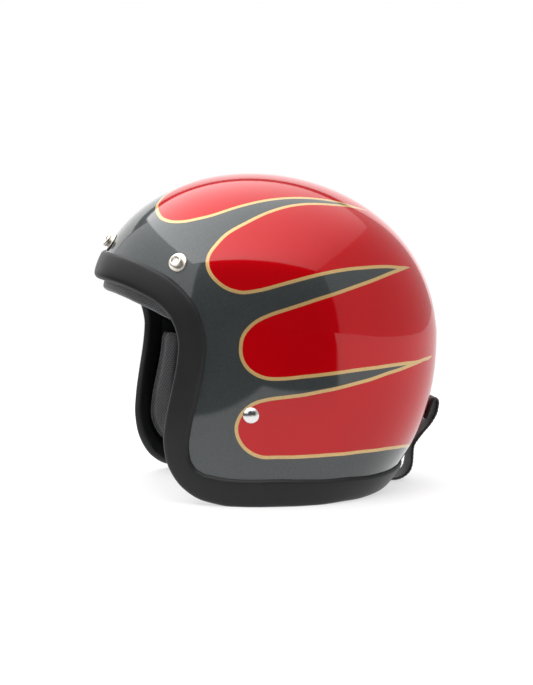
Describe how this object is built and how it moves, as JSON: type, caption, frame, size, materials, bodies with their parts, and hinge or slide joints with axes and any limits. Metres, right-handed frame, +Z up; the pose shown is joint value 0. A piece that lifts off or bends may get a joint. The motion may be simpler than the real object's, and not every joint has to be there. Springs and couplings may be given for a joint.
{
  "type": "open face motorcycle helmet",
  "caption": "Open face helmet with a painted shell, rubber edge trim, sewn liner, visor studs, chin straps with D-rings and a snapped goggle strap.",
  "frame": {"origin": "on the surface that the helmet stands on, below the middle of its overall width and length", "axes": "+Z up to the crown, -Y out of the face opening, +X to the wearer's left"},
  "size_m": [0.2382, 0.2839, 0.2537],
  "materials": {
    "shell_paint": "candy red and charcoal metallic paint with gold pinstripes under clear lacquer",
    "trim_rubber": "satin moulded rubber",
    "impact_foam": "fine beaded foam",
    "comfort_fabric": "perforated mesh fabric over soft foam",
    "nickel": "polished nickel plate",
    "bright_chrome": "bright chrome plate",
    "plated_steel": "zinc plated",
    "webbing": "ribbed polyester webbing",
    "strap_leather": "stitched black leather",
    "black_nylon": "moulded nylon",
    "black_snap": "black lacquered brass"
  },
  "bodies": {
    "root": {"shell": "shell_paint", "edge_trim": "trim_rubber", "impact_liner": "impact_foam", "crown_pad": "comfort_fabric", "brow_pad": "comfort_fabric", "neck_pad": "comfort_fabric", "cheek_pad_left": "comfort_fabric", "cheek_pad_right": "comfort_fabric", "visor_stud_center": "nickel", "visor_stud_left": "nickel", "visor_stud_right": "nickel", "visor_stud_backings": "plated_steel", "chin_rivet_left": "bright_chrome", "chin_rivet_right": "bright_chrome", "rivet_spacer_left": "black_nylon", "rivet_spacer_right": "black_nylon", "rivet_washer_left": "plated_steel", "rivet_washer_right": "plated_steel", "goggle_stud": "nickel", "goggle_stud_backing": "plated_steel", "goggle_strap_base": "strap_leather", "goggle_base_rivets": "plated_steel"},
    "left_strap": {"strap_hanger_left": "plated_steel", "chin_strap_left": "webbing", "strap_keeper": "black_nylon", "tail_snap_stud": "black_snap", "tail_snap_socket": "black_snap", "tail_snap_cap": "black_snap"},
    "right_strap": {"strap_hanger_right": "plated_steel", "chin_strap_right": "webbing"},
    "lower_ring": {"d_ring_lower": "bright_chrome"},
    "upper_ring": {"d_ring_upper": "bright_chrome"},
    "goggle_flap": {"goggle_strap": "strap_leather", "goggle_snap_socket": "black_snap", "goggle_snap_cap": "black_snap"}
  },
  "joints": [
    {"name": "left_strap_swing", "type": "hinge", "parent": "root", "child": "left_strap", "pos_m": [0.11315, -0.03649, 0.072], "axis": [0.9681, -0.2481, -0.0364], "range_deg": [-16, 16]},
    {"name": "right_strap_swing", "type": "hinge", "parent": "root", "child": "right_strap", "pos_m": [-0.11315, -0.03649, 0.072], "axis": [0.9681, 0.2481, 0.0364], "range_deg": [-16, 16]},
    {"name": "upper_ring_lift", "type": "hinge", "parent": "right_strap", "child": "upper_ring", "pos_m": [-0.0512, -0.02062, 0.00885], "axis": [0.2483, -0.9687, 0], "range_deg": [0, 150]},
    {"name": "lower_ring_lift", "type": "hinge", "parent": "right_strap", "child": "lower_ring", "pos_m": [-0.04727, -0.01961, 0.0048], "axis": [0.2483, -0.9687, 0], "range_deg": [0, 75]},
    {"name": "goggle_flap_swing", "type": "hinge", "parent": "root", "child": "goggle_flap", "pos_m": [0, 0.11959, 0.0248], "axis": [-1, 0, 0], "range_deg": [0, 80]}
  ],
  "couplings": [
    {"joint": "lower_ring_lift", "follows": "upper_ring_lift", "ratio": 0.5}
  ]
}
